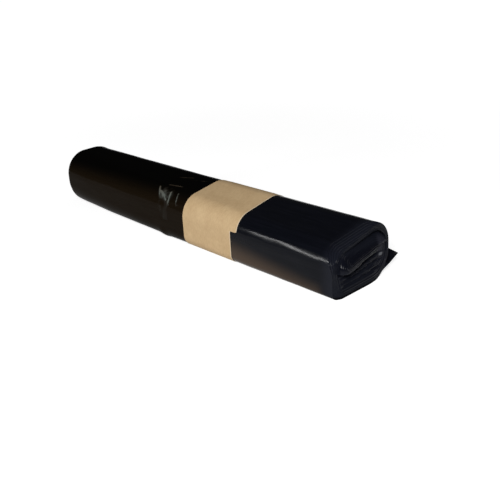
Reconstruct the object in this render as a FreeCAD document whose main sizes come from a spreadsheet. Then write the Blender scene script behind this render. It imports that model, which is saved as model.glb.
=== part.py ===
# Coreless roll of black polythene bin bags, lying on its side, with a kraft paper band round it.
# The film roll is one piece: wound turns, pressed flat towards the near end (+X), where the inner
# turns have slid out, with the free end of the last bag standing off behind. The kraft band is the
# other piece, one turn and a glued lap that slipped sideways.
import FreeCAD, Part
import math
import os
import Sketcher

Vector = FreeCAD.Vector

DOC = FreeCAD.newDocument("bin_bag_roll")
SHEET = DOC.addObject("Spreadsheet::Sheet", "Sizes")

SIZES = [
    # Outside of the roll: the far end is nearly round, the near end is a leaning oblong.
    ("roll_length", 457.0),
    ("far_width", 78.0),
    ("far_height", 69.0),
    ("far_front_bottom_radius", 33.0),
    ("far_front_top_radius", 29.0),
    ("far_rear_top_radius", 33.0),
    ("far_rear_bottom_radius", 29.0),
    ("near_width", 90.0),
    ("near_ridge_height", 49.0),
    ("near_crest_height", 68.5),
    ("near_front_bottom_radius", 4.5),
    ("near_ridge_radius", 22.0),
    ("near_crest_radius", 28.0),
    ("near_rear_bottom_radius", 27.0),
    ("flatten_power", 0.62),
    ("rest_flat_length", 180.0),
    ("rest_flat_width", 24.0),
    # Collapsed middle that the turns close in on, at the two ends.
    ("near_core_width", 46.0),
    ("near_core_bottom", 22.5),
    ("near_core_rear_bottom", 24.5),
    ("near_core_top", 26.5),
    ("near_core_rear_top", 29.5),
    ("far_core_width", 14.0),
    ("far_core_bottom", 32.0),
    ("far_core_top", 38.0),
    ("tightest_fold", 0.9),
    ("fold_chords", 6.0),
    # Turns seen on the ends, as shares of the way from the outside to the middle.
    ("near_laps", 5.0),
    ("far_laps", 4.0),
    ("near_outer_share", 0.35),
    ("bundle_gap_share", 0.03),
    ("near_inner_share", 0.9),
    ("far_outer_share", 0.1),
    ("far_inner_share", 0.92),
    ("turn_gap", 0.9),
    ("gap_depth", 4.0),
    # Outer turns of the near end, set back over the ridge and stepped outwards turn by turn.
    ("stepped_turns", 3.0),
    ("ridge_set_back", 12.5),
    ("set_back_tilt", 24.0),
    ("set_back_direction", 130.0),
    ("ridge_step", 3.8),
    ("face_step", 0.55),
    # Inner turns that slid out of the near end and into the far end.
    ("slide_out_front", 12.0),
    ("slide_out_rear", 2.5),
    ("slide_brow", 8.0),
    ("slide_slope", 41.0),
    ("slide_in", 4.0),
    ("slide_in_share", 0.3),
    ("slit_height", 1.4),
    ("slit_depth", 12.0),
    ("slit_front", 37.0),
    ("slit_rear", 12.0),
    # Free end of the last bag.
    ("tail_length", 38.5),
    ("tail_root", 3.0),
    ("tail_thickness", 0.9),
    ("tail_leave_angle", 21.0),
    ("tail_start", 150.0),
    ("tail_closed_radius", 28.2),
    ("tail_open_radius", 400.0),
    # Kraft band.
    ("strip_width", 78.0),
    ("band_start", 8.0),
    ("lap_shift", 9.5),
    ("paper_thickness", 0.25),
    ("paper_clearance", 0.15),
    ("lap_bedding", 0.1),
    ("lap_front_height", 38.0),
    ("lap_rear_height", 30.0),
    # Creases pressed into the film beside the band.
    ("crease_reach", 50.0),
    ("crease_width", 3.4),
    ("crease_height", 1.2),
]

# Creases by their two ends, on the upper side: each end as a share of the creases' reach towards the
# far end, and of half the roll's width towards the rear.
CREASES = [
    ((0.84, -0.73), (0.42, -0.95)),
    ((0.48, -0.70), (0.40, -0.95)),
    ((0.24, -0.67), (0.14, -0.93)),
    ((0.94, -0.64), (0.76, -0.88)),
    ((0.76, -0.51), (0.32, -0.42)),
    ((0.90, -0.07), (0.44, 0.14)),
    ((0.50, -0.02), (-0.04, 0.16)),
]

# Sections of the roll's outside stand at these places along it: short of the band, and past it.
FAR_PLACES = [
    "-Sizes.roll_length / 2",
    "-Sizes.roll_length * 0.42",
    "-Sizes.roll_length * 0.27",
    "-Sizes.crease_reach",
    "Sizes.band_start - Sizes.paper_clearance",
]
NEAR_PLACES = [
    "Sizes.band_start + Sizes.strip_width + Sizes.paper_clearance",
    "Sizes.tail_start",
    "Sizes.roll_length / 2 - 2 * Sizes.ridge_set_back",
    "Sizes.roll_length / 2",
]
BAND_PLACES = ["Sizes.band_start + Sizes.strip_width * %d / 3" % third for third in range(4)]
LAP_PLACES = ["Sizes.band_start + Sizes.lap_shift"] + BAND_PLACES[1:] + [
    "Sizes.band_start + Sizes.lap_shift + Sizes.strip_width"
]
ACROSS_ROLL = FreeCAD.Rotation(Vector(1, 1, 1), 120)


def fill_sheet():
    for row, (alias, number) in enumerate(SIZES, start=1):
        SHEET.set("A%d" % row, alias)
        SHEET.set("B%d" % row, str(number))
        SHEET.setAlias("B%d" % row, alias)
    DOC.recompute()


def value(expression):
    """Number that an expression on the sheet gives."""
    return float(SHEET.evalExpression(expression.replace("Sizes.", "")))


def blended(far, near, share):
    """Expression for a size going from its far-end value to its near-end value."""
    return "(Sizes.%s + (Sizes.%s - Sizes.%s) * pow(%s; Sizes.flatten_power))" % (far, near, far, share)


def outline(share, grow="0", floor="0"):
    """Corners (across, up) and radii of the roll at a share of its length, grown outwards."""
    width = blended("far_width", "near_width", share)
    front = blended("far_height", "near_ridge_height", share)
    rear = blended("far_height", "near_crest_height", share)
    lean = "((%s - %s) / %s)" % (rear, front, width)
    slant = "sqrt(1 + %s * %s)" % (lean, lean)
    half = "%s / 2 + %s" % (width, grow)
    corners = [
        ("-(%s)" % half, floor),
        (half, floor),
        (half, "%s + (%s) * (%s + %s)" % (rear, grow, slant, lean)),
        ("-(%s)" % half, "%s + (%s) * (%s - %s)" % (front, grow, slant, lean)),
    ]
    pairs = (
        ("far_front_bottom_radius", "near_front_bottom_radius"),
        ("far_rear_bottom_radius", "near_rear_bottom_radius"),
        ("far_rear_top_radius", "near_crest_radius"),
        ("far_front_top_radius", "near_ridge_radius"),
    )
    return corners, ["%s + %s" % (blended(far, near, share), grow) for far, near in pairs]


def near_core():
    half = "Sizes.near_core_width / 2"
    return [
        ("-" + half, "Sizes.near_core_bottom"),
        (half, "Sizes.near_core_rear_bottom"),
        (half, "Sizes.near_core_rear_top"),
        ("-" + half, "Sizes.near_core_top"),
    ]


def far_core():
    half = "Sizes.far_core_width / 2"
    return [
        ("-" + half, "Sizes.far_core_bottom"),
        (half, "Sizes.far_core_bottom"),
        (half, "Sizes.far_core_top"),
        ("-" + half, "Sizes.far_core_top"),
    ]


def turn_outline(end_share, inward):
    """Outline of a closed turn at a share of the way in from the outside of one end."""
    corners, radii = outline(end_share)
    core = near_core() if end_share == 1 else far_core()
    mixed = [
        tuple("(%s) + ((%s) - (%s)) * (%s)" % (out, deep, out, inward) for out, deep in zip(corner, inner))
        for corner, inner in zip(corners, core)
    ]
    tight = "Sizes.tightest_fold"
    return mixed, ["(%s) + (%s - (%s)) * (%s)" % (radius, tight, radius, inward) for radius in radii]


def corner_arc(before, corner, after, radius):
    """Centre, first and last point of the arc that rounds a corner."""
    to_before = (before - corner).normalize()
    to_after = (after - corner).normalize()
    half_angle = to_before.getAngle(to_after) / 2
    middle = (to_before + to_after).normalize()
    centre = corner + middle * (radius / math.sin(half_angle))
    reach = radius / math.tan(half_angle)
    return centre, corner + to_before * reach, corner + to_after * reach


def dimension(sketch, kind, pick, expression):
    """Adds a dimension at its present size and ties it to the sheet."""
    number = value(expression)
    index = sketch.addConstraint(Sketcher.Constraint(kind, *pick, number))
    sketch.setExpression("Constraints[%d]" % index, expression)


def quad_sketch(name, corners, radii, x_expression):
    """Rounded four-sided section across the roll, every corner and radius tied to the sheet."""
    sketch = DOC.addObject("Sketcher::SketchObject", name)
    points = [Vector(value(across), value(up), 0) for across, up in corners]
    sizes = [value(radius) for radius in radii]
    arcs = []
    for index, corner in enumerate(points):
        centre, first, last = corner_arc(points[index - 1], corner, points[(index + 1) % 4], sizes[index])
        start = math.atan2(first.y - centre.y, first.x - centre.x)
        stop = math.atan2(last.y - centre.y, last.x - centre.x)
        circle = Part.Circle(centre, Vector(0, 0, 1), sizes[index])
        sketch.addGeometry(Part.ArcOfCircle(circle, start, stop), False)
        arcs.append((first, last))
    for index in range(4):
        sketch.addGeometry(Part.LineSegment(arcs[index][1], arcs[(index + 1) % 4][0]), False)
    for index in range(4):
        sketch.addConstraint(Sketcher.Constraint("Tangent", index, 2, 4 + index, 1))
        sketch.addConstraint(Sketcher.Constraint("Tangent", 4 + index, 2, (index + 1) % 4, 1))
    for index, (across, up) in enumerate(corners):
        mark = sketch.addGeometry(Part.Point(points[index]), True)
        sketch.addConstraint(Sketcher.Constraint("PointOnObject", mark, 1, 4 + (index - 1) % 4))
        sketch.addConstraint(Sketcher.Constraint("PointOnObject", mark, 1, 4 + index))
        dimension(sketch, "DistanceX", (-1, 1, mark, 1), across)
        dimension(sketch, "DistanceY", (-1, 1, mark, 1), up)
    for index, radius in enumerate(radii):
        dimension(sketch, "Radius", (index,), radius)
    sketch.Placement = FreeCAD.Placement(Vector(0, 0, 0), ACROSS_ROLL)
    sketch.setExpression("Placement.Base.x", x_expression)
    return sketch


def loft(name, sections):
    result = DOC.addObject("Part::Loft", name)
    result.Sections = sections
    result.Solid = True
    result.Ruled = True
    return result


def roll_loft(name, places, grow="0", floor="0"):
    """Outside of the roll through sections at given places, grown outwards, its underside flat."""
    sections = []
    for index, place in enumerate(places):
        share = "(0.5 + (%s) / Sizes.roll_length)" % place
        corners, radii = outline(share, grow, floor)
        sections.append(quad_sketch("%s_station_%d" % (name, index), corners, radii, place))
    return loft(name, sections)


def prism(name, sketch, length):
    """Straight block from a section, towards the near end."""
    result = DOC.addObject("Part::Extrusion", name)
    result.Base = sketch
    result.DirMode = "Custom"
    result.Dir = Vector(1, 0, 0)
    result.Solid = True
    result.setExpression("LengthFwd", length)
    return result


def bound_box(name, low, high):
    """Box between two corners whose coordinates are expressions."""
    box = DOC.addObject("Part::Box", name)
    for side, axis, bottom, top in zip(("Length", "Width", "Height"), "xyz", low, high):
        box.setExpression(side, "(%s) - (%s)" % (top, bottom))
        box.setExpression("Placement.Base." + axis, bottom)
    return box


def cut(name, base, tool):
    result = DOC.addObject("Part::Cut", name)
    result.Base = base
    result.Tool = tool
    return result


def common(name, base, tool):
    result = DOC.addObject("Part::Common", name)
    result.Base = base
    result.Tool = tool
    return result


def fuse(name, shapes):
    result = DOC.addObject("Part::MultiFuse", name)
    result.Shapes = shapes
    return result


def film_outside():
    """Wound film without end detail, lifted by the paper's thickness in the band, with a plane spot
    let into its underside to rest on."""
    lift = "Sizes.paper_thickness + Sizes.paper_clearance"
    far = roll_loft("far_film", FAR_PLACES)
    held = roll_loft("held_film", [FAR_PLACES[-1], NEAR_PLACES[0]], floor=lift)
    near = roll_loft("near_film", NEAR_PLACES)
    wound = fuse("wound_film", [far, held, near])
    half = "Sizes.rest_flat_width / 2"
    start = "-Sizes.rest_flat_length"
    hollow = bound_box("rest_hollow", (start, "-" + half, "-1"), ("Sizes.band_start / 2", half, "1"))
    flat = bound_box("rest_flat", (start, "-" + half, "0"), ("Sizes.band_start / 2", half, "1"))
    return fuse("rested_film", [cut("hollowed_film", wound, hollow), flat])


def slab(name, point, tilt, way):
    """Thick slab beyond a plane that faces the near end, tilted by an angle in a given way round."""
    tilt, way = math.radians(tilt), math.radians(way)
    normal = Vector(math.cos(tilt), math.sin(tilt) * math.cos(way), math.sin(tilt) * math.sin(way))
    box = DOC.addObject("Part::Box", name)
    box.Length = value("Sizes.near_width")
    box.Width = 4 * value("Sizes.near_width")
    box.Height = 4 * value("Sizes.near_width")
    turn = FreeCAD.Rotation(Vector(1, 0, 0), normal)
    corner = turn.multVec(Vector(0, -box.Width.Value / 2, -box.Height.Value / 2))
    box.Placement = FreeCAD.Placement(point + corner, turn)
    return box


def set_back_slab(index):
    """What is missing of one outer turn, counted from outside, where it slipped back at the ridge."""
    ridge = Vector(
        value("Sizes.roll_length / 2 - Sizes.ridge_set_back + Sizes.ridge_step * %d" % index),
        value("-Sizes.near_width / 2"),
        value("Sizes.near_ridge_height"),
    )
    return slab("set_back_%d" % index, ridge, value("Sizes.set_back_tilt"), value("Sizes.set_back_direction"))


def stepped_end(film):
    """Near end of the outer turns: each turn in stands out beyond the one round it."""
    steps = int(value("Sizes.stepped_turns"))
    start = "Sizes.roll_length / 2 - 2 * Sizes.ridge_set_back"
    blocks = [cut("set_back_film", film, set_back_slab(0))]
    for index in range(1, steps + 1):
        corners, radii = turn_outline(1, "Sizes.near_outer_share * %d / %d" % (index, steps))
        section = quad_sketch("step_section_%d" % index, corners, radii, start)
        block = prism("step_block_%d" % index, section, "2 * Sizes.ridge_set_back + Sizes.face_step * %d" % index)
        blocks.append(cut("step_%d" % index, block, set_back_slab(index)))
    return fuse("stepped_film", blocks)


def slid_bundle():
    """Upper half of the inner turns, slid out most at the front, its face sloping back."""
    outer, radii = turn_outline(1, "Sizes.near_outer_share + Sizes.bundle_gap_share")
    core = near_core()
    corners = [(outer[0][0], core[0][1]), (outer[1][0], core[1][1]), outer[2], outer[3]]
    section = quad_sketch(
        "slid_section", corners, ["1", "1", radii[2], radii[3]], "Sizes.roll_length / 2 - Sizes.ridge_set_back"
    )
    block = prism("slid_block", section, "Sizes.ridge_set_back + 2 * Sizes.slide_out_front")
    lean = math.degrees(math.atan2(value("Sizes.slide_out_front - Sizes.slide_out_rear"), value("Sizes.near_width")))
    brow = Vector(
        value("Sizes.roll_length / 2 + Sizes.slide_out_front"),
        value("-Sizes.near_width / 2"),
        value("Sizes.near_core_bottom + Sizes.slide_brow"),
    )
    face = cut("slid_face", block, slab("beyond_face", brow, lean, 0))
    return cut("slid_bundle", face, slab("beyond_slope", brow, value("Sizes.slide_slope"), 90))


def wound_line(end_share, first, last, laps):
    """Corner points and radii of the wound line, closing in corner by corner."""
    steps = int(4 * laps)
    points, radii = [], []
    for step in range(steps + 1):
        inward = first + (last - first) * step / steps
        corners, rounds = turn_outline(end_share, str(inward))
        across, up = corners[step % 4]
        points.append(Vector(value(across), value(up), 0))
        radii.append(value(rounds[step % 4]))
    return points, radii


def gap_face(name, end_share, first, last, laps):
    """Flat face of the gap between turns, wound from near the outside in to the middle."""
    points, radii = wound_line(end_share, first, last, laps)
    half = value("Sizes.turn_gap") / 2
    chords = int(value("Sizes.fold_chords"))
    outer, inner = [], []
    for before, corner, after, radius in zip(points, points[1:], points[2:], radii[1:]):
        room = 0.45 * min(corner.distanceToPoint(before), corner.distanceToPoint(after))
        half_angle = (before - corner).getAngle(after - corner) / 2
        radius = min(radius, room * math.tan(half_angle))
        centre, start, stop = corner_arc(before, corner, after, radius)
        sweep = (start - centre).getAngle(stop - centre)
        for chord in range(chords + 1):
            turned = FreeCAD.Rotation(Vector(0, 0, 1), math.degrees(sweep) * chord / chords)
            ray = turned.multVec(start - centre).normalize()
            outer.append(centre + ray * (radius + half))
            inner.append(centre + ray * (radius - half))
    loop = Part.makePolygon(outer + inner[::-1] + outer[:1])
    feature = DOC.addObject("Part::Feature", name)
    feature.Shape = Part.Face(loop)
    feature.Placement = FreeCAD.Placement(Vector(0, 0, 0), ACROSS_ROLL)
    return feature


def near_end(film):
    """Stepped outer turns, the slid-out bundle, the slit under it and the gaps between turns."""
    built = fuse("near_built", [stepped_end(film), slid_bundle()])
    gap = gap_face(
        "near_gap",
        1,
        value("Sizes.near_outer_share"),
        value("Sizes.near_inner_share"),
        value("Sizes.near_laps"),
    )
    gap.setExpression("Placement.Base.x", "Sizes.roll_length / 2 - Sizes.gap_depth")
    gap_block = prism("near_gap_block", gap, "Sizes.gap_depth + 2 * Sizes.slide_out_front")
    slit = bound_box(
        "slit",
        (
            "Sizes.roll_length / 2 - Sizes.slit_depth",
            "-Sizes.slit_front",
            "Sizes.near_core_bottom - Sizes.slit_height",
        ),
        ("Sizes.roll_length / 2 + Sizes.slit_depth", "Sizes.slit_rear", "Sizes.near_core_bottom"),
    )
    return cut("near_done", built, fuse("near_gaps", [gap_block, slit]))


def far_end(film):
    """Nearly round far end, its inner turns drawn in a little, with the gaps between turns."""
    corners, radii = turn_outline(0, "Sizes.slide_in_share")
    rim = quad_sketch("drawn_section", corners, radii, "-Sizes.roll_length / 2 - Sizes.slide_in")
    drawn = prism("drawn_block", rim, "2 * Sizes.slide_in")
    gap = gap_face(
        "far_gap",
        0,
        value("Sizes.far_outer_share"),
        value("Sizes.far_inner_share"),
        value("Sizes.far_laps"),
    )
    gap.setExpression("Placement.Base.x", "-Sizes.roll_length / 2 - Sizes.gap_depth")
    gap_block = prism("far_gap_block", gap, "2 * Sizes.gap_depth + Sizes.slide_in")
    return cut("far_done", film, fuse("far_gaps", [drawn, gap_block]))


def tail_section(name, share, radius):
    """Strip of film leaving the roll low at the back, curled to a given radius."""
    leave = "Sizes.tail_leave_angle * 1 deg"
    corners, radii = outline(share)
    round_radius = "(%s)" % radii[1]
    across = "%s - %s + (%s - %s) * sin(%s)" % (corners[1][0], round_radius, round_radius, radius, leave)
    up = "%s + %s + (%s - %s) * cos(%s)" % (corners[1][1], round_radius, radius, round_radius, leave)
    root = "(Sizes.tail_leave_angle - 90 - Sizes.tail_root / %s * 180 / pi)" % radius
    tip = "(Sizes.tail_leave_angle - 90 + Sizes.tail_length / %s * 180 / pi)" % radius
    centre = Vector(value(across), value(up), 0)
    outer = value(radius)
    inner = outer - value("Sizes.tail_thickness")
    start = math.radians(value(root))
    stop = math.radians(value(tip))
    sketch = DOC.addObject("Sketcher::SketchObject", name)
    for size in (outer, inner):
        circle = Part.Circle(centre, Vector(0, 0, 1), size)
        sketch.addGeometry(Part.ArcOfCircle(circle, start, stop), False)
    for angle in (start, stop):
        ray = Vector(math.cos(angle), math.sin(angle), 0)
        sketch.addGeometry(Part.LineSegment(centre + ray * inner, centre + ray * outer), False)
    for line, end in ((2, 1), (3, 2)):
        sketch.addConstraint(Sketcher.Constraint("Coincident", line, 1, 1, end))
        sketch.addConstraint(Sketcher.Constraint("Coincident", line, 2, 0, end))
        sketch.addConstraint(Sketcher.Constraint("PointOnObject", 0, 3, line))
    sketch.addConstraint(Sketcher.Constraint("Coincident", 0, 3, 1, 3))
    dimension(sketch, "DistanceX", (-1, 1, 0, 3), across)
    dimension(sketch, "DistanceY", (-1, 1, 0, 3), up)
    dimension(sketch, "Radius", (0,), radius)
    dimension(sketch, "Radius", (1,), "%s - Sizes.tail_thickness" % radius)
    for line, angle in ((2, root), (3, tip)):
        index = sketch.addConstraint(Sketcher.Constraint("Angle", line, math.radians(value(angle))))
        sketch.setExpression("Constraints[%d]" % index, "%s * 1 deg" % angle)
    sketch.Placement = FreeCAD.Placement(Vector(0, 0, 0), ACROSS_ROLL)
    sketch.setExpression("Placement.Base.x", "Sizes.roll_length * (%s - 0.5)" % share)
    return sketch


def tail():
    """Free end of the last bag, lying flat up to two thirds along, then lifting away."""
    held = "(0.5 + Sizes.tail_start / Sizes.roll_length)"
    sections = [
        tail_section("tail_held", held, "Sizes.tail_closed_radius"),
        tail_section("tail_open", "1", "Sizes.tail_open_radius"),
    ]
    return loft("tail", sections)


def skin_point(film, along_share, across_share):
    """Point on the upper side of the film, at shares of the creases' reach and of half the width."""
    along = -along_share * value("Sizes.crease_reach")
    half = value(blended("far_width", "near_width", "(0.5 + %s / Sizes.roll_length)" % along)) / 2
    across = across_share * half
    top = 2 * value("Sizes.near_crest_height")
    inside = Part.makeLine(Vector(along, across, top / 4), Vector(along, across, top)).common(film.Shape)
    return Vector(along, across, inside.BoundBox.ZMax)


def crease(film, index, first_end, last_end):
    """Crisp raised fold: two flat cones base to base, cut to the slice that shows."""
    first = skin_point(film, *first_end)
    last = skin_point(film, *last_end)
    middle = (first + last) / 2
    along = (last - first).normalize()
    outward = Vector(0, middle.y, middle.z - value("Sizes.near_crest_height") / 2)
    outward = (outward - along * outward.dot(along)).normalize()
    buried = Part.makeLine(middle, middle + outward * value("Sizes.near_width")).common(film.Shape).Length
    rise = buried + value("Sizes.crease_height")
    reach = (last - first).Length / 2
    bend = min((reach * reach + rise * rise) / (2 * rise), value("Sizes.near_crest_height") / 2)
    reach = min(reach, math.sqrt(2 * bend * rise))
    slice_angle = math.degrees(2 * math.asin(reach / bend))
    centre = middle - outward * (bend - rise)
    halves = []
    for side in (1, -1):
        half = DOC.addObject("Part::Cone", "crease_%d_%s" % (index, "front" if side == 1 else "rear"))
        half.Radius1 = bend
        half.setExpression("Radius2", "%s - 2 * Sizes.crease_height" % bend)
        half.setExpression("Height", "Sizes.crease_width")
        half.Angle = slice_angle
        axis = outward.cross(along) * side
        start = FreeCAD.Rotation(axis, -slice_angle / 2).multVec(outward)
        half.Placement = FreeCAD.Placement(centre, FreeCAD.Rotation(start, axis.cross(start), axis, "ZXY"))
        halves.append(half)
    return halves


def creased(film):
    DOC.recompute()
    folds = [half for index, ends in enumerate(CREASES) for half in crease(film, index, *ends)]
    return fuse("creased", [film] + folds)


def paper_band():
    """Kraft strip round the roll: one turn, and a lap slipped sideways and glued down."""
    clear = "Sizes.paper_clearance"
    paper = "Sizes.paper_thickness"
    outside = roll_loft("band_outside", BAND_PLACES, "(%s + %s)" % (clear, paper))
    inside = roll_loft("band_inside", BAND_PLACES, clear, paper)
    turn = cut("band_turn", outside, inside)
    lap_outside = roll_loft("lap_outside", LAP_PLACES, "(%s + 2 * %s)" % (clear, paper))
    bedded = "(%s + %s - Sizes.lap_bedding)" % (clear, paper)
    lap_inside = roll_loft("lap_inside", LAP_PLACES, bedded)
    width, top = "Sizes.near_width", "2 * Sizes.near_crest_height"
    front_room = bound_box(
        "lap_front_room", (LAP_PLACES[0], "-" + width, "Sizes.lap_front_height"), (LAP_PLACES[-1], "0", top)
    )
    rear_room = bound_box(
        "lap_rear_room", (LAP_PLACES[0], "0", "Sizes.lap_rear_height"), (LAP_PLACES[-1], width, top)
    )
    lap_room = fuse("lap_room", [front_room, rear_room])
    lap = common("band_lap", cut("lap_sleeve", lap_outside, lap_inside), lap_room)
    return fuse("band", [turn, lap])


def check(objects):
    for item in DOC.Objects:
        if "Invalid" in item.State or "Error" in item.State:
            raise RuntimeError("%s did not build: %s" % (item.Name, item.State))
    for item in objects:
        shape = item.Shape
        if shape.isNull() or not shape.isValid() or not shape.Solids:
            raise RuntimeError("%s has no valid solid" % item.Label)


def write(objects):
    os.makedirs("parts", exist_ok=True)
    for item in objects:
        item.Shape.exportStep("parts/%s.step" % item.Label)


fill_sheet()
WOUND = creased(far_end(near_end(film_outside())))
FILM = fuse("film", [WOUND, tail()])
FILM.Label = "bag_roll"
BAND = paper_band()
BAND.Label = "paper_band"
DOC.recompute()
check([FILM, BAND])
write([FILM, BAND])
for PIECE in (FILM, BAND):
    print(PIECE.Label, len(PIECE.Shape.Faces), "faces", round(PIECE.Shape.Volume), "mm3")
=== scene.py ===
# Coreless roll of black polythene bin bags with a kraft paper band, on a pale studio floor.
import math

import bpy
from mathutils import Matrix, Vector, noise


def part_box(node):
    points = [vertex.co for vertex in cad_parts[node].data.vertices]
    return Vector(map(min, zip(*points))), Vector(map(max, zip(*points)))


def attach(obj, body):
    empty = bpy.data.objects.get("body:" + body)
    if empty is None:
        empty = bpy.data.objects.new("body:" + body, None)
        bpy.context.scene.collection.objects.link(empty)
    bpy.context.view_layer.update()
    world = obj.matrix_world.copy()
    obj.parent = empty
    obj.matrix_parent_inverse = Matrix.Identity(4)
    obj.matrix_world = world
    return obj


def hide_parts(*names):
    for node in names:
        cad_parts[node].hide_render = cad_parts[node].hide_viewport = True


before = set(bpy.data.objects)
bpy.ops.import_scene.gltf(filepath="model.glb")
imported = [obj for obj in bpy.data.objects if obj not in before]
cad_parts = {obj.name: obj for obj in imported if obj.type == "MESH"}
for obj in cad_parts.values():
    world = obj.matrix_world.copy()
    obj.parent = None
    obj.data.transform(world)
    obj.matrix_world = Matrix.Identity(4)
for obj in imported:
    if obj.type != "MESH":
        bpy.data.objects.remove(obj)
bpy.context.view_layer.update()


# Wound film. Flat-tubed bags of black polythene, about twenty, wound up on themselves without a
# core. The roll is round at the far end and pressed flatter towards the near end, where the outer
# turns have slipped back over the ridge and the inner turns stand out in a bundle.
mm = 0.001
film_low, film_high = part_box("bag_roll")
band_low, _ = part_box("paper_band")
half_length = -film_low.x
near_width = -2 * film_low.y
far_width = 78 * mm
far_height = film_high.z
ridge_height = 49 * mm
crest_height = far_height - 0.5 * mm
flatten_power = 0.62
paper_thickness = 0.25 * mm
paper_clearance = 0.15 * mm
strip_width = 78 * mm
band_end = band_low.x + strip_width

# The corners of the section run front bottom, rear bottom, rear top, front top.
far_radii = (33 * mm, 29 * mm, 33 * mm, 29 * mm)
near_radii = (4.5 * mm, 27 * mm, 28 * mm, 22 * mm)
longest_arc_share = 0.49
arc_columns = (16, 38, 48, 42)
side_columns = (56, 16, 48, 40)
columns = sum(arc_columns) + sum(side_columns)


def smooth(low, high, number):
    """0 below low, 1 above high, and an even rise between them."""
    share = min(1.0, max(0.0, (number - low) / (high - low)))
    return share * share * (3 - 2 * share)


def lower_of(first, second, ease):
    """The lower of two numbers, rounded over where they cross."""
    near = max(ease - abs(first - second), 0.0) / ease
    return min(first, second) - near * near * ease / 4


def outline_corners(x):
    """Corners (across, up) and corner radii of the roll's section at a place along it."""
    along = min(1.0, max(0.0, 0.5 + x / (2 * half_length))) ** flatten_power
    half = (far_width + (near_width - far_width) * along) / 2
    front = far_height + (ridge_height - far_height) * along
    rear = far_height + (crest_height - far_height) * along
    corners = [Vector((-half, 0)), Vector((half, 0)), Vector((half, rear)), Vector((-half, front))]
    radii = [far + (near - far) * along for far, near in zip(far_radii, near_radii)]
    return corners, radii


def corner_arcs(corners, radii):
    """Points of a section's four rounded corners, one arc after another, each with both its ends."""
    points = []
    for index, corner in enumerate(corners):
        before = corners[index - 1]
        after = corners[(index + 1) % 4]
        to_before = (before - corner).normalized()
        to_after = (after - corner).normalized()
        half_angle = to_before.angle(to_after) / 2
        room = longest_arc_share * min((before - corner).length, (after - corner).length)
        radius = min(radii[index], room * math.tan(half_angle))
        centre = corner + (to_before + to_after).normalized() * (radius / math.sin(half_angle))
        sweep = math.pi - 2 * half_angle
        start = math.atan2(to_before.x, -to_before.y)
        if Vector((math.cos(start), math.sin(start))).dot(to_after) > 0:
            start += math.pi
        for step in range(arc_columns[index] + 1):
            angle = start + sweep * step / arc_columns[index]
            points.append(centre + Vector((math.cos(angle), math.sin(angle))) * radius)
    return points


def section(corners, radii):
    """Ring of points round a section, with its straight sides filled in."""
    arcs = corner_arcs(corners, radii)
    points = []
    place = 0
    for arc_count, side_count in zip(arc_columns, side_columns):
        points += arcs[place:place + arc_count]
        start = arcs[place + arc_count]
        place += arc_count + 1
        stop = arcs[place % len(arcs)]
        for step in range(side_count):
            points.append(start.lerp(stop, step / side_count))
    return points


# The innermost turn at each end: four corners (across, up) of the collapsed middle.
near_core = [Vector(corner) * mm for corner in ((-23, 24.2), (23, 26.8), (23, 27.4), (-23, 24.8))]
far_core = [Vector(corner) * mm for corner in ((-7, 32), (7, 32), (7, 38), (-7, 38))]
tightest_fold = 0.9 * mm


def turn_section(x, core, inward):
    """Section of a turn at a share of the way in from the outside to the collapsed middle."""
    corners, radii = outline_corners(x)
    mixed = [corner.lerp(deep, inward) for corner, deep in zip(corners, core)]
    return section(mixed, [radius + (tightest_fold - radius) * inward for radius in radii])


def soft_noise(x, y, z):
    return noise.noise(Vector((x, y, z)))


# Pressed creases beside the band: both ends (along, across) and the height, all in millimetres.
creases = (
    ((-42, -31.5), (-21, -41), 1.6),
    ((-24, -30), (-20, -41), 1.5),
    ((-12, -29), (-7, -40), 1.2),
    ((-47, -27.5), (-38, -38), 1.3),
    ((-38, -22), (-16, -18), 1.0),
    ((-45, -3), (-22, 6), 0.8),
    ((-25, -1), (2, 7), 0.8),
)
crease_half_width = 2.6
crease_sharpness = 1.3
crease_overrun = 0.12
crease_run_in = 0.2
trough_depth = 0.3
trough_width = 5


def crease_lift(x, y):
    """Height, in millimetres, that the pressed creases beside the band stand above the film."""
    lift = 0.0
    for first, last, height in creases:
        start = Vector(first)
        run = Vector(last) - start
        share = (Vector((x, y)) - start).dot(run) / run.length_squared
        off = (Vector((x, y)) - start - run * min(1.0, max(0.0, share))).length
        taper = smooth(-crease_overrun, crease_run_in, share)
        taper *= 1 - smooth(1 - crease_run_in, 1 + crease_overrun, share)
        pinch = max(0.0, 1 - off / crease_half_width) ** crease_sharpness
        trough = trough_depth * math.exp(-(off / trough_width) ** 2)
        lift += height * taper * (pinch - trough)
    return lift


# Slack swells of the skin: height in millimetres, length, girth, and a shift in the noise.
swells = ((0.35, 48 * mm, 17 * mm, 0), (0.12, 19 * mm, 6 * mm, 7))
crease_zone = (-52 * mm, 8 * mm)
crease_lowest = 25 * mm
low_bump_place = -34 * mm
low_bump_length = 7 * mm
low_bump_height = 1.1
highest_lift = 1.3
skin_inset = 0.1

# The band's grip: where past the paper's far and near edges the film goes from slack to flat, and
# where past either edge it comes down from the paper's thickness to the floor.
far_grip = (6 * mm, 1 * mm)
near_grip = (24 * mm, 12 * mm)
floor_fade = (1.2 * mm, 0.2 * mm)


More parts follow.
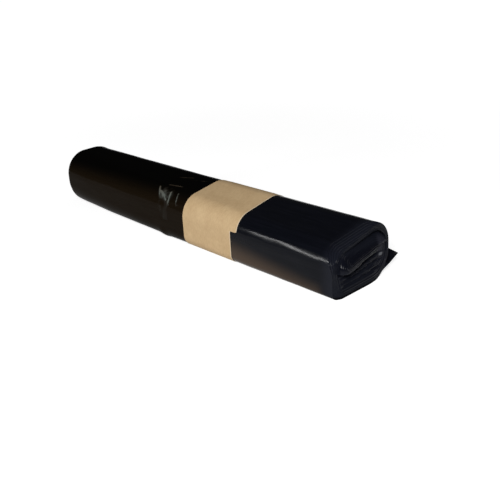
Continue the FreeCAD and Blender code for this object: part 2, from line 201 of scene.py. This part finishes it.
def skin(x, points):
    """Outer skin at a place along the roll: slack swells and creases, held flat under the band."""
    held = smooth(band_low.x - far_grip[0], band_low.x - far_grip[1], x)
    held *= 1 - smooth(band_end + near_grip[1], band_end + near_grip[0], x)
    floor = paper_thickness + paper_clearance
    floor *= smooth(band_low.x - floor_fade[0], band_low.x - floor_fade[1], x)
    floor *= 1 - smooth(band_end + floor_fade[1], band_end + floor_fade[0], x)
    placed = []
    for index, point in enumerate(points):
        tangent = (points[(index + 1) % len(points)] - points[index - 1]).normalized()
        normal = Vector((tangent.y, -tangent.x))
        lift = 0.0
        for height, length, girth, shift in swells:
            lift += height * soft_noise(x / length, point.x / girth, point.y / girth + shift)
        lift *= 1 - held
        if point.y > crease_lowest and crease_zone[0] < x < crease_zone[1]:
            lift += crease_lift(x / mm, point.x / mm)
        if point.x < 0:
            beside = math.exp(-((x - low_bump_place) / low_bump_length) ** 2)
            lift += low_bump_height * beside * (1 - smooth(10, 16, point.y / mm))
        spot = point + normal * (min(lift, highest_lift) - skin_inset) * mm
        placed.append(Vector((x, spot.x, max(spot.y, floor))))
    return placed


# The outer turns' edges: the outermost's place on the ridge, how far the last of them stands past
# it, how they slant towards the rear, and how far in from the outside they reach.
set_back_ridge = 213.5 * mm
turn_step = 13.9 * mm
set_back_rise = 0.32
outer_share = 0.25
outer_turns = 8
front_fall = 0.4
front_start = 6 * mm
face_step = 1.6 * mm
outer_slip = 0.45 * mm
bulge_reach = 4.5 * mm


def bulge(y, z):
    """How far the lowest turns stand out of the near end between its two rounded corners."""
    between = smooth(-46, -35, y / mm) * (1 - smooth(6, 44, y / mm))
    return bulge_reach * between * (1 - smooth(4, 26, z / mm))


def outer_edge(wound, y, z):
    """Place along the roll of an outer turn's edge, each turn in standing out past the last."""
    below = ridge_height - z
    ridge = set_back_ridge + turn_step * wound / outer_turns
    ridge += lower_of(below, front_fall * below + front_start, 3 * mm)
    sloped = ridge + set_back_rise * (y + near_width / 2)
    face = half_length + face_step * wound / outer_turns + bulge(y, z)
    slip = outer_slip * soft_noise(wound * 1.7, 3.1, 0.4) * smooth(0, 1, wound)
    return lower_of(face, sloped, 1.5 * mm) + slip


# The slid-out bundle: its brow, how its face falls back to the rear and its slope towards the top.
bundle_start = 0.295
bundle_turns = 12
brow_reach = 240.3 * mm
brow_height = 30.5 * mm
bundle_rear_fall = 0.1056
bundle_slope = 0.8693
bundle_shoulder = -31 * mm
shoulder_radius = 9 * mm
inner_slip = 0.7 * mm
inner_wave = 0.5 * mm
still_step = 0.6 * mm

# The wavy line under the bundle: the slit's depth, its place under the line and its width.
slit_depth = 7 * mm
slit_drop = 1.0
slit_width = 1.3

# Folds below the bundle, in millimetres: depth, height at the front and rise towards the rear.
folds_below = ((2.4, 20.0, 7.5), (2.0, 15.5, 5.0), (1.5, 11.0, 2.5))
fold_width = 0.9


def parting(y):
    """Height of the wavy line under the slid-out bundle, rising from the front to the rear."""
    return (25.2 + 5.4 * smooth(-24, 6, y / mm) + 6.5 * smooth(6, 30, y / mm)) * mm


def inner_edge(wound, y, z):
    """Place along the roll of the inner turns: the slid-out bundle above, the still ones below."""
    slip = inner_slip * soft_noise(wound * 1.3, 5.5, 1.1)
    face = brow_reach - bundle_rear_fall * (y + near_width / 2)
    slope = brow_reach - bundle_slope * (z - brow_height)
    wave = inner_wave * soft_noise(y / (12 * mm), z / (7 * mm), 4.0)
    shoulder = max(0.0, bundle_shoulder - y) ** 2 / shoulder_radius
    bundle = lower_of(face, slope, 3 * mm) - shoulder + wave + 0.6 * slip
    still = half_length + still_step + slip + bulge(y, z)
    line = (z - parting(y)) / mm
    slit = slit_depth * math.exp(-((line + slit_drop) / slit_width) ** 2)
    slit *= 1 - smooth(18, 34, y / mm)
    span = smooth(-40, -24, y / mm) * (1 - smooth(22, 38, y / mm))
    for depth, low, rise in folds_below:
        fold = z / mm - low - rise * smooth(-26, 30, y / mm)
        slit += depth * mm * math.exp(-(fold / fold_width) ** 2) * span
    return still + (bundle - still) * smooth(-0.4, 0.5, line) - slit


# The step at each turn's edge: share of the way to the next turn, and depth in millimetres.
fold_profile = ((0.0, 0.55), (0.06, 0.14), (0.25, 0.0), (0.7, 0.03), (0.94, 0.2))


def turn_rows(end, core, first, last, turns, edge):
    """Rows of one end's turns, wound inwards: each turn's edge is a thin rounded step."""
    rows = []
    for turn in range(turns + 1):
        for across, dip in fold_profile:
            row = []
            for column in range(columns):
                wound = turn + across - column / columns
                share = first + (last - first) * min(1.0, max(0.0, wound / turns))
                point = turn_point(end, core, share, column)
                level = max(0.0, turn - column / columns)
                uneven = 0.6 + 0.9 * (0.5 + soft_noise(level * 0.9, 8.2, 2.4))
                depth = dip * uneven * mm
                if share <= first:
                    depth = 0.0
                row.append(Vector((edge(level, point.x, point.y, depth, share), point.x, point.y)))
            rows.append(row)
    return rows


sections_at = {}
section_steps = 120


def turn_point(end, core, share, column):
    """Point of a turn's section, the sections kept at even shares and blended between them."""
    place = share * section_steps
    low = min(section_steps - 1, int(place))
    for index in (low, low + 1):
        if (end, index) not in sections_at:
            sections_at[end, index] = turn_section(end, core, index / section_steps)
    return sections_at[end, low][column].lerp(sections_at[end, low + 1][column], place - low)


def near_outer(level, y, z, depth, share):
    return outer_edge(level, y, z) - depth


def near_inner(level, y, z, depth, share):
    return inner_edge(level, y, z) - depth


far_turns = 11
far_set_back = 5 * mm
far_rounded_share = 0.1
far_slip = 0.5 * mm
middle_set_in = 3.6 * mm
far_middle_depth = 5 * mm


def far_turn(level, y, z, depth, share):
    """Place along the roll of the far end's turns: a rounded rim, plain steps, a set-in middle."""
    slip = far_slip * abs(soft_noise(level * 1.9, 6.6, 3.3)) * smooth(far_rounded_share, 0.18, share)
    drawn = middle_set_in * smooth(0.29, 0.31, share)
    rounded = far_set_back * (1 - math.sqrt(1 - max(0.0, 1 - share / far_rounded_share) ** 2))
    return -half_length + slip + rounded + depth + drawn


def spread(first, last, count):
    """Evenly spaced numbers from the first up to, but not at, the last."""
    return [first + (last - first) * step / count for step in range(count)]


# Stations along the skin, closest over the creases beside the band.
rim_start = 195 * mm
side_stations = spread(far_set_back - half_length, -54 * mm, 28) + spread(-54 * mm, 7 * mm, 66)
side_stations += spread(7 * mm, 87 * mm, 7) + spread(87 * mm, rim_start, 22)
rim_shares = spread(0.0, 1.0, 12) + [1.0]


def rim_rows():
    """Skin from the last plain station to the slanting edge of the outermost turn."""
    rim = section(*outline_corners(half_length))
    ends = [outer_edge(0.0, point.x, point.y) for point in rim]
    rows = []
    for share in rim_shares:
        station = rim_start + (half_length - rim_start) * share
        row = []
        for end, point in zip(ends, skin(station, section(*outline_corners(station)))):
            row.append(Vector((rim_start + (end - rim_start) * share, point.y, point.z)))
        rows.append(row)
    return rows


gap_depth = 6.0
gap_shallow = 0.05
closing_depth = 1.5 * mm
closing_half_width = 22 * mm


def gap_row(edge_row):
    """Floor of the dark gap over the slid-out bundle, deep along the top and shallow elsewhere."""
    row = []
    for point in edge_row:
        over = smooth(26, 34, point.z / mm)
        row.append(Vector((point.x - (gap_shallow + gap_depth * over) * mm, point.y, point.z)))
    return row


def closing_row(last_turn):
    """Row that shuts the near end: the innermost turn pressed flat onto one line."""
    row = []
    for point in last_turn:
        across = min(max(point.y, -closing_half_width), closing_half_width)
        up = 24.5 * mm + 0.057 * (point.y + 23 * mm)
        row.append(Vector((point.x - closing_depth, across, up)))
    return row


def film_rows():
    """Every row of points round the roll, from the middle of the far end to the near end's."""
    far = turn_rows(-half_length, far_core, 0.0, 1.0, far_turns, far_turn)
    middle = sum((point.yz for point in far[-1]), Vector((0, 0))) / columns
    rows = [[Vector((far_middle_depth - half_length, middle.x, middle.y))] * columns]
    rows += far[::-1]
    for x in side_stations:
        rows.append(skin(x, section(*outline_corners(x))))
    rows += rim_rows()
    rows += turn_rows(half_length, near_core, 0.0, outer_share, outer_turns, near_outer)
    gap_floor = gap_row(rows[-1])
    inner = turn_rows(half_length, near_core, bundle_start, 1.0, bundle_turns, near_inner)
    rows.append(gap_floor)
    rows.append([Vector((deep.x, point.y, point.z)) for deep, point in zip(gap_floor, inner[0])])
    rows += inner
    rows.append(closing_row(inner[-1]))
    return rows


def wrapped_grid(name, rows, closed=True):
    """A plain grid whose vertices are moved row by row to given points, its long edges joined."""
    across = len(rows[0]) if closed else len(rows[0]) - 1
    up = len(rows) - 1
    bpy.ops.object.select_all(action="DESELECT")
    bpy.ops.mesh.primitive_grid_add(x_subdivisions=across, y_subdivisions=up, size=1)
    piece = bpy.context.object
    piece.name = name
    piece.data.name = name
    for vertex in piece.data.vertices:
        column = round((vertex.co.x + 0.5) * across)
        row = round((vertex.co.y + 0.5) * up)
        vertex.co = rows[row][column % len(rows[0])]
    bpy.ops.object.mode_set(mode="EDIT")
    bpy.ops.mesh.select_all(action="SELECT")
    bpy.ops.mesh.remove_doubles(threshold=0.002 * mm)
    if closed:
        bpy.ops.mesh.normals_make_consistent(inside=False)
    bpy.ops.object.mode_set(mode="OBJECT")
    return piece


sharp_edge = math.radians(40)
film_roll = wrapped_grid("film_roll", film_rows())
bpy.ops.object.shade_smooth_by_angle(angle=sharp_edge)

# Painted glints: the creases are painted pale where light catches them, with one broad painted
# highlight among them on the front, given here by its middle and its size (along, across) in millimetres.
broad_glint_middle = (-31, -34)
broad_glint_size = (12, 9)
broad_glint_strength = 0.55
painted_glints = film_roll.data.attributes.new("painted_glints", "FLOAT", "POINT")
for vertex in film_roll.data.vertices:
    x, y, z = vertex.co / mm
    if z > 25 and -60 < x < 6:
        off_along = (x - broad_glint_middle[0]) / broad_glint_size[0]
        off_across = (y - broad_glint_middle[1]) / broad_glint_size[1]
        broad_glint = broad_glint_strength * math.exp(-off_along ** 2 - off_across ** 2)
        painted_glints.data[vertex.index].value = max(0.0, crease_lift(x, y)) + broad_glint


# Free end of the last bag. The last turn isn't stuck down: it lies on the roll up to 150 mm past
# the middle, and from there the soft film lifts away low at the back, most at the near end. It is
# the same sheet as the roll, so it becomes one piece with it and has the same glossy black finish.
tail_start = 150 * mm
tail_length = 38 * mm
tail_root = 3 * mm
tail_leave = math.radians(18.5)
tail_thickness = 0.6 * mm
tail_closed_radius = 28.2 * mm
tail_open_radius = 400 * mm
tail_wave = 0.4 * mm
tail_columns = 24


def tail_points(x):
    """Strip of film leaving the roll low at the back, straighter the further along it is."""
    corners, radii = outline_corners(x)
    openness = (x - tail_start) / (half_length - tail_start)
    radius = 1 / (1 / tail_closed_radius + (1 / tail_open_radius - 1 / tail_closed_radius) * openness)
    centre_y = corners[1].x - radii[1] + (radii[1] - radius) * math.sin(tail_leave)
    centre_z = radii[1] + (radius - radii[1]) * math.cos(tail_leave)
    points = []
    for step in range(tail_columns + 1):
        run = -tail_root + (tail_length + tail_root) * step / tail_columns
        angle = tail_leave - math.pi / 2 + run / radius
        wave = tail_wave * soft_noise(x / (20 * mm), run / (12 * mm), 5.0)
        reach = radius - tail_thickness / 2 + wave * smooth(0, 0.5, run / tail_length)
        y = centre_y + reach * math.cos(angle)
        z = centre_z + reach * math.sin(angle)
        points.append(Vector((x, y, z)))
    return points


def thickened(piece, thickness):
    """Gives a single sheet its thickness, half to each side, and leaves its cut edges square."""
    sheet = piece.modifiers.new("thickness", "SOLIDIFY")
    sheet.thickness = thickness
    sheet.offset = 0
    bpy.ops.object.modifier_apply(modifier=sheet.name)
    bpy.ops.object.shade_smooth_by_angle(angle=sharp_edge)


def joined(whole, part):
    """Makes a part one piece with the whole that it belongs to."""
    bpy.ops.object.select_all(action="DESELECT")
    part.select_set(True)
    whole.select_set(True)
    bpy.context.view_layer.objects.active = whole
    bpy.ops.object.join()


tail_stations = spread(tail_start, half_length, 40) + [half_length]
film_tail = wrapped_grid("film_tail", [tail_points(x) for x in tail_stations], False)
thickened(film_tail, tail_thickness)
joined(film_roll, film_tail)


class Wire:
    """A value in a material, worked on with plain arithmetic."""

    def __init__(self, tree, socket=None):
        self.tree = tree
        self.socket = socket

    def node(self, kind, settings, values, output=0):
        """New node with its settings, then its inputs, each a value or a wire; gives its output."""
        made = self.tree.nodes.new(kind)
        for key, setting in settings.items():
            setattr(made, key, setting)
        pairs = values.items() if isinstance(values, dict) else enumerate(values)
        for key, number in pairs:
            if isinstance(number, Wire):
                self.tree.links.new(number.socket, made.inputs[key])
            else:
                made.inputs[key].default_value = number
        return Wire(self.tree, made.outputs[output])

    def math(self, operation, *numbers):
        return self.node("ShaderNodeMath", {"operation": operation}, numbers)

    def vector_math(self, operation, vectors, output=0):
        return self.node("ShaderNodeVectorMath", {"operation": operation}, vectors, output)

    def __add__(self, other):
        return self.math("ADD", self, other)

    __radd__ = __add__

    def __sub__(self, other):
        return self.math("SUBTRACT", self, other)

    def __rsub__(self, other):
        return self.math("SUBTRACT", other, self)

    def __mul__(self, other):
        return self.math("MULTIPLY", self, other)

    __rmul__ = __mul__

    def between(self, low, high):
        """0 below low and 1 above high, easing between them."""
        settings = {"interpolation_type": "SMOOTHSTEP"}
        return self.node("ShaderNodeMapRange", settings, {"Value": self, "From Min": low, "From Max": high})

    def stretched(self, scale):
        return self.vector_math("MULTIPLY", [self, scale])

    def distance(self, spot, scale):
        """Distance from a spot, every length scaled along its own direction first."""
        middle = tuple(length * share for length, share in zip(spot, scale))
        return self.vector_math("DISTANCE", [self.stretched(scale), middle], "Value")

    def grain(self, scale, detail, roughness):
        values = {"Vector": self, "Scale": scale, "Detail": detail, "Roughness": roughness}
        return self.node("ShaderNodeTexNoise", {}, values)

    def tint(self, first, second):
        """Colour going from the first to the second as this value goes from 0 to 1."""
        ends = [colour if isinstance(colour, Wire) else (*colour, 1) for colour in (first, second)]
        return self.node("ShaderNodeMix", {"data_type": "RGBA"}, {0: self, 6: ends[0], 7: ends[1]}, 2)


def finish_of(name):
    """New material, its shader, and a wire that carries the place on the object in metres."""
    material = bpy.data.materials.new(name)
    material.use_nodes = True
    tree = material.node_tree
    place = Wire(tree).node("ShaderNodeTexCoord", {}, [], "Object")
    return material, tree.nodes["Principled BSDF"], place


def painted(place, name):
    """Wire that carries an attribute painted on the piece's own mesh."""
    return place.node("ShaderNodeAttribute", {"attribute_name": name}, [], "Fac")


def feed(shader, socket, wire):
    wire.tree.links.new(wire.socket, shader.inputs[socket])


def bumped(place, heights):
    """Normal bent by one bump after another, each a wire and its height in metres."""
    normal = {}
    for height, distance in heights:
        values = {"Strength": 1.0, "Distance": distance, "Height": height, **normal}
        normal = {"Normal": place.node("ShaderNodeBump", {}, values)}
    return normal["Normal"]


# Film finish. Glossy black, with light painted into its colour: painted reflections make the near
# half bluish and the front of the far half brown, black over its top, with a painted warm reflection
# low on the near front and painted light making the film edges at the near end paler.
near_black_blue_reflection = ((0.0026, 0.003, 0.0048), (0.0042, 0.0047, 0.0075))
far_brown_reflection = ((0.0072, 0.0045, 0.0022), (0.0092, 0.0062, 0.0034))
far_top_black = (0.0012, 0.0011, 0.0009)
painted_warm_reflection = (0.064, 0.044, 0.031)
painted_edge_light = (0.0085, 0.0095, 0.0145)
painted_bundle_shade = (0.0045, 0.005, 0.0085)
painted_pale_sheen = (0.024, 0.0245, 0.034)
painted_rear_glint = (0.16, 0.165, 0.18)
painted_underside_shade = (0.0005, 0.0005, 0.0007)
painted_front_crease_glint = (0.095, 0.103, 0.092)
painted_top_crease_glint = (0.07, 0.05, 0.032)
warm_reflection_slope = 0.13
pale_sheen_spot = (230 * mm, 29 * mm, 37 * mm)
rear_glint_spot = (230 * mm, 31 * mm, 25 * mm)
painted_sheen_strength = 0.8

film, shader, place = finish_of("film")
along, across, up = (place.node("ShaderNodeSeparateXYZ", {}, [place], axis) for axis in "XYZ")
streaks = place.stretched((1.0, 14.0, 14.0)).grain(24, 5.0, 0.6)
crinkle = place.grain(160, 4.0, 0.6)
slack = place.stretched((1.0, 2.2, 2.2)).grain(16, 2.0, 0.5)
dents = place.stretched((1.0, 1.0, 0.6)).grain(130, 3.0, 0.6)
# Painted glints along the creases, broken up by noise: grey on the front, brown along the top.
crease_glint_mask = painted(place, "painted_glints") * (0.3 + 0.7 * dents.between(0.3, 0.62))
crease_glint_mask = crease_glint_mask.between(0.1, 0.9)
nearness = along.between(0.0, 60 * mm)

# Painted reflections: the brown on the far front and the blue on the near half stand in for the room
# mirrored in the film, while the top of the far half stays black.
far_tone = up.between(44 * mm, 62 * mm).tint(streaks.between(0.2, 0.9).tint(*far_brown_reflection), far_top_black)
tone = nearness.tint(far_tone, streaks.between(0.3, 0.8).tint(*near_black_blue_reflection))
# Painted warm reflection of a brown floor, low on the near front, in a wedge that sinks towards the near
# end.
warm_reflection_wedge = up + warm_reflection_slope * (along - band_end)
warm_reflection_mask = (1 - warm_reflection_wedge.between(8 * mm, 34 * mm)) * (1 - across.between(-36 * mm, -20 * mm))
warm_reflection_mask = warm_reflection_mask * along.between(60 * mm, 90 * mm) * (1 - along.between(205 * mm, 222 * mm))
tone = warm_reflection_mask.tint(tone, painted_warm_reflection)
# Painted light: the film edges at the near end are painted paler where light catches them, leaving out the
# free end.
edges = along.between(209 * mm, 227 * mm) * (1 - across.between(44.5 * mm, 46 * mm))
tone = edges.tint(tone, painted_edge_light)
# Painted shade: the slid-out bundle's sloping face is painted darker above the wavy line.
bundle_shade_mask = along.between(229 * mm, 233 * mm) * up.between(27 * mm, 31 * mm)
tone = bundle_shade_mask.tint(tone, painted_bundle_shade)
# Painted sheen: a pale patch painted on the rear of the near end.
pale_sheen_mask = 1 - place.distance(pale_sheen_spot, (0.3, 1.0, 0.8)).between(4 * mm, 9 * mm)
tone = (painted_sheen_strength * pale_sheen_mask).tint(tone, painted_pale_sheen)
# Painted highlight: a bright glint painted low at the rear of the near end.
rear_glint_mask = 1 - place.distance(rear_glint_spot, (0.3, 1.0, 2.2)).between(1 * mm, 5 * mm)
tone = (painted_sheen_strength * rear_glint_mask).tint(tone, painted_rear_glint)
# Painted shade: the under-curve along the bottom of the near end is painted black.
under = along.between(214 * mm, 226 * mm) * (1 - up.between(0.5 * mm, 4.5 * mm))
tone = under.tint(tone, painted_underside_shade)
tone = crease_glint_mask.tint(tone, up.between(52 * mm, 62 * mm).tint(painted_front_crease_glint, painted_top_crease_glint))
feed(shader, "Base Color", tone)
feed(shader, "Roughness", 0.09 + 0.07 * streaks + 0.05 * crinkle)
feed(shader, "Normal", bumped(place, [(slack, 0.5 * mm), (streaks, 0.03 * mm), (crinkle, 0.02 * mm)]))
shader.inputs["Specular IOR Level"].default_value = 0.07

# The far half and the under-curve have less gloss: a dull film is mixed in there.
dull = {"Base Color": tone, "Roughness": 0.8, "Specular IOR Level": 0.0}
dull = place.node("ShaderNodeBsdfPrincipled", {}, dull)
dulled = 0.1 + 0.66 * (1 - nearness) * (1 - crease_glint_mask) + 0.8 * under
mixed = place.node("ShaderNodeMixShader", {}, [dulled, Wire(place.tree, shader.outputs[0]), dull])
feed(place.tree.nodes["Material Output"], "Surface", mixed)

film_roll.data.materials.clear()
film_roll.data.materials.append(film)
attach(film_roll, "root")
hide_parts("bag_roll")


# Kraft band. One strip of smooth brown kraft paper, cut 78 mm wide, goes once round the roll and
# laps over its own start across the top. The lap slipped sideways before the glue held it.
lap_shift = 9.5 * mm
lap_start = band_low.x + lap_shift
lap_front_height = 38 * mm
lap_rear_height = 30 * mm
lap_columns = 150

# The sheets are a hair thinner than their spacing, so that the lap and the strip don't touch.
sheet_thickness = 0.96 * paper_thickness
cut_edge = (0.66, 0.54, 0.38)
pulp_tones = ((0.425, 0.289, 0.15), (0.54, 0.389, 0.218))


def outward(points, grow):
    """Points moved out from a closed ring by a distance."""
    moved = []
    for index, point in enumerate(points):
        tangent = (points[(index + 1) % len(points)] - points[index - 1]).normalized()
        moved.append(point + Vector((tangent.y, -tangent.x)) * grow)
    return moved


def band_rows():
    """Rows of the strip once round the roll, its underside kept above the floor."""
    rows = []
    for x in spread(band_low.x, band_end, 26) + [band_end]:
        points = outward(section(*outline_corners(x)), paper_clearance + paper_thickness / 2)
        rows.append([Vector((x, point.x, max(point.y, paper_thickness / 2))) for point in points])
    return rows


def lap_stretch(x, grow):
    """Even points over the top of the roll, between the lap's two ends low on its sides."""
    points = outward(section(*outline_corners(x)), grow)
    over = [p for p in points if p.y > (lap_front_height if p.x < 0 else lap_rear_height)]
    steps = [(b - a).length for a, b in zip(over, over[1:])]
    placed = []
    index = 0
    done = 0.0
    for step in range(lap_columns):
        goal = sum(steps) * step / (lap_columns - 1)
        while index < len(steps) - 1 and done + steps[index] < goal:
            done += steps[index]
            index += 1
        placed.append(over[index].lerp(over[index + 1], min(1.0, (goal - done) / steps[index])))
    return placed


def lap_rows():
    """Rows of the lap over the strip, sagging onto the film where it runs past the strip's edge."""
    rows = []
    for x in spread(lap_start, lap_start + strip_width, 28) + [lap_start + strip_width]:
        sag = smooth(band_end, band_end + 4 * mm, x) * paper_thickness
        points = lap_stretch(x, paper_clearance + 1.5 * paper_thickness - sag)
        rows.append([Vector((x, point.x, point.y)) for point in points])
    return rows


kraft_band = wrapped_grid("kraft_band", band_rows())
thickened(kraft_band, sheet_thickness)
kraft_lap = wrapped_grid("kraft_lap", lap_rows(), False)
thickened(kraft_lap, sheet_thickness)

# The near cut edge of each length of the strip is paler, so its distance is painted on the mesh.
for piece, start in ((kraft_band, band_low.x), (kraft_lap, lap_start)):
    margin = piece.data.attributes.new("margin", "FLOAT", "POINT")
    for vertex in piece.data.vertices:
        margin.data[vertex.index].value = start + strip_width - vertex.co.x
joined(kraft_band, kraft_lap)

kraft, shader, place = finish_of("kraft")
fibres = place.stretched((10.0, 3.0, 3.0)).grain(90, 6.0, 0.65)
mottle = place.grain(45, 3.0, 0.6)
specks = place.grain(900, 2.0, 0.6)
pulp = (0.6 * fibres + 0.4 * mottle).between(0.3, 0.7)
inside = painted(place, "margin").between(0.3 * mm, 1.2 * mm)
feed(shader, "Base Color", inside.tint(cut_edge, pulp.tint(*pulp_tones)))
feed(shader, "Roughness", 0.62 + 0.15 * fibres)
feed(shader, "Normal", bumped(place, [(fibres, 0.05 * mm), (specks, 0.02 * mm)]))
shader.inputs["Specular IOR Level"].default_value = 0.3

kraft_band.data.materials.clear()
kraft_band.data.materials.append(kraft)
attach(kraft_band, "root")
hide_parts("paper_band")


# Floor. A wide pale studio floor that the roll lies on. It runs past the edges of every view and
# keeps the roll's soft shadow. A glow that only the camera, reflections and glass see lifts it to
# white, a little less close to the roll.
floor_grey = (0.55, 0.55, 0.55)
near_glow = (0.74, 0.74, 0.74)
black = (0, 0, 0)
white = (1, 1, 1)
bpy.ops.object.select_all(action="DESELECT")
bpy.ops.mesh.primitive_circle_add(vertices=96, radius=12, fill_type="NGON", location=(0, 0, -0.2 * mm))
floor = bpy.context.object
floor.name = "floor"
pale, shader, place = finish_of("white_floor")
shader.inputs["Base Color"].default_value = (*floor_grey, 1)
shader.inputs["Roughness"].default_value = 0.9
shader.inputs["Specular IOR Level"].default_value = 0.0


def ray_kind(tree, name):
    """Wire that is 1 for one kind of ray and 0 for the others."""
    return Wire(tree).node("ShaderNodeLightPath", {}, [], name)


seen = ray_kind(place.tree, "Is Camera Ray")
seen = place.math("MAXIMUM", seen, ray_kind(place.tree, "Is Glossy Ray"))
seen = place.math("MAXIMUM", seen, ray_kind(place.tree, "Is Transmission Ray"))
away = place.vector_math("LENGTH", [place], "Value").between(0.3, 1.4)
glow = seen.tint(black, away.tint(near_glow, white))
glow = place.node("ShaderNodeEmission", {}, {"Color": glow, "Strength": 1.0})
both = place.node("ShaderNodeAddShader", {}, [Wire(place.tree, shader.outputs[0]), glow])
feed(place.tree.nodes["Material Output"], "Surface", both)
floor.data.materials.append(pale)


# Light. The room is dim and even, and white to the camera alone. A soft lamp stands to the right of
# the camera, a weak broad one hangs high behind the roll, and a narrow slanted strip low on the
# left draws the bright line along the ridge.
room_grey = (0.04, 0.04, 0.04)
world = bpy.data.worlds.new("room")
bpy.context.scene.world = world
world.use_nodes = True
seen = ray_kind(world.node_tree, "Is Camera Ray")
feed(world.node_tree.nodes["Background"], "Color", seen.tint(room_grey, white))


def soft_lamp(name, spot, aim, along, length, width, watts):
    """Rectangular lamp at a place, turned towards a point, its length along a direction."""
    away = (Vector(spot) - Vector(aim)).normalized()
    side = (Vector(along) - away * away.dot(Vector(along))).normalized()
    lamp = bpy.data.lights.new(name, "AREA")
    lamp.shape = "RECTANGLE"
    lamp.size = length
    lamp.size_y = width
    lamp.energy = watts
    holder = bpy.data.objects.new(name, lamp)
    holder.matrix_world = Matrix((side, away.cross(side), away)).transposed().to_4x4()
    holder.location = spot
    bpy.context.scene.collection.objects.link(holder)


roll_middle = (0.05, 0, 0.03)
ridge_aim = (0.18, -0.04, 0.04)
soft_lamp("key", (0.95, -1.07, 0.81), roll_middle, (1, 1, 0), 0.45, 0.45, 21)
soft_lamp("overhead", (0.4, 0.5, 1.5), roll_middle, (1, 0, 0), 0.8, 0.8, 4)
soft_lamp("ridge_strip", (-0.74, -1.2, 0.383), ridge_aim, (-0.634, 0, 0.773), 0.62, 0.05, 8)


# Camera. It stands off the near end's corner, a little above, turned slightly on its own axis, as
# the photograph was taken.
camera_place = (0.7106, -0.6150, 0.3666)
azimuth = math.radians(46.17)
elevation = math.radians(22.55)
roll = math.radians(-3.08)
back = Vector((
    math.sin(azimuth) * math.cos(elevation),
    -math.cos(azimuth) * math.cos(elevation),
    math.sin(elevation),
))
level = Vector((math.cos(azimuth), math.sin(azimuth), 0))
upward = back.cross(level)
right = level * math.cos(roll) + upward * math.sin(roll)
top = upward * math.cos(roll) - level * math.sin(roll)
lens = bpy.data.cameras.new("camera")
lens.sensor_width = 36
lens.lens = 61.19
lens.clip_end = 60
camera = bpy.data.objects.new("camera", lens)
camera.matrix_world = Matrix((right, top, back)).transposed().to_4x4()
camera.location = camera_place
bpy.context.scene.collection.objects.link(camera)
bpy.context.scene.camera = camera
bpy.context.scene.view_settings.view_transform = "Standard"
